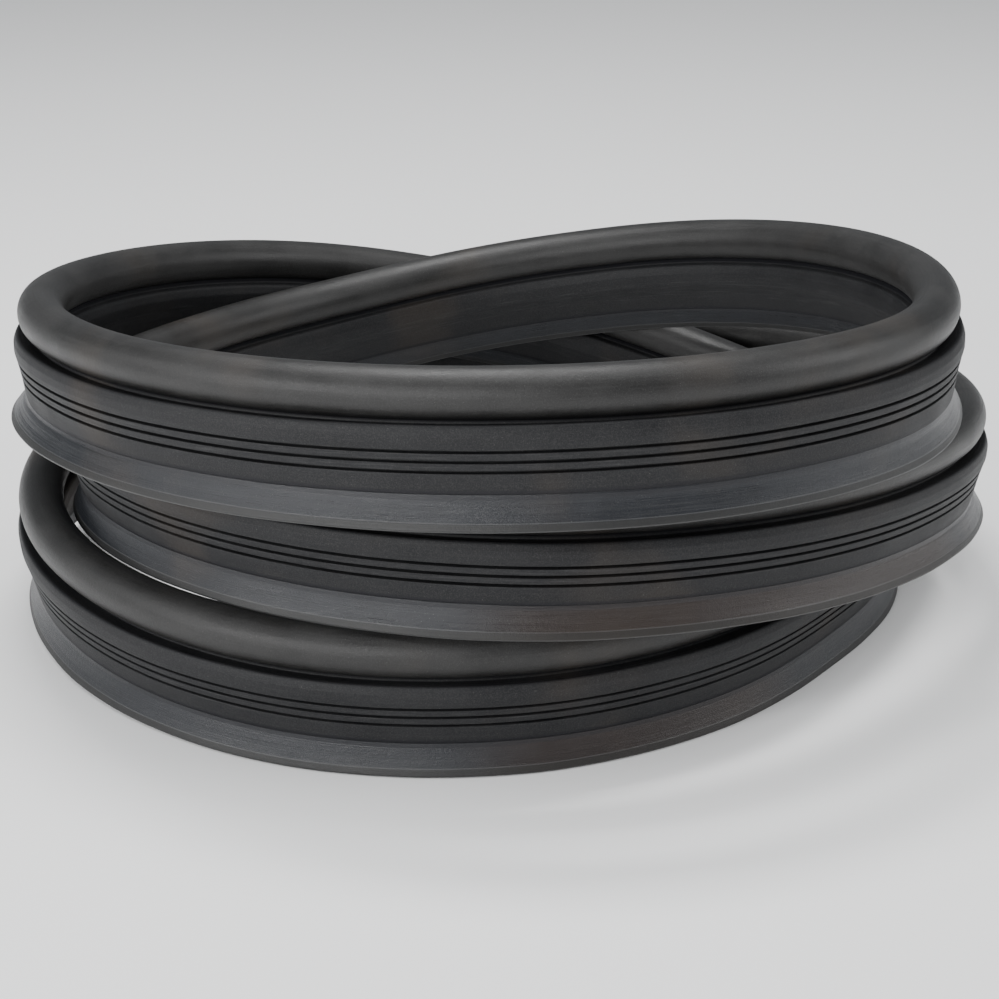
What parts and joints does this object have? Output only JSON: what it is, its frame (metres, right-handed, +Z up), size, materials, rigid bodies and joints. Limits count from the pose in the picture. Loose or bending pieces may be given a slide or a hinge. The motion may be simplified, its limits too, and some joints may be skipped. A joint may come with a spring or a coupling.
{
  "type": "coiled bulb seal strip",
  "caption": "Closed loop of black rubber bulb seal folded into a flat coil: a hollow bulb on a grooved web with a flared lip, as fitted round a door, hatch or lid to keep out water and dust.",
  "frame": {"origin": "on the surface the coil lies on, under the middle of the coil's bounding box", "axes": "+Z up out of the coil, through its turns; -Y towards the side where the top turn stands highest; +X to that side's right"},
  "size_m": [0.3792, 0.3778, 0.1445],
  "materials": {
    "bulb_rubber": "matte",
    "web_rubber": "matte",
    "lip_rubber": "satin",
    "splice_rubber": "matte"
  },
  "bodies": {
    "root": {"sealing_bulb": "bulb_rubber", "ribbed_web": "web_rubber", "flared_lip": "lip_rubber", "splice_film": "splice_rubber", "splice_plug": "splice_rubber"}
  },
  "joints": []
}
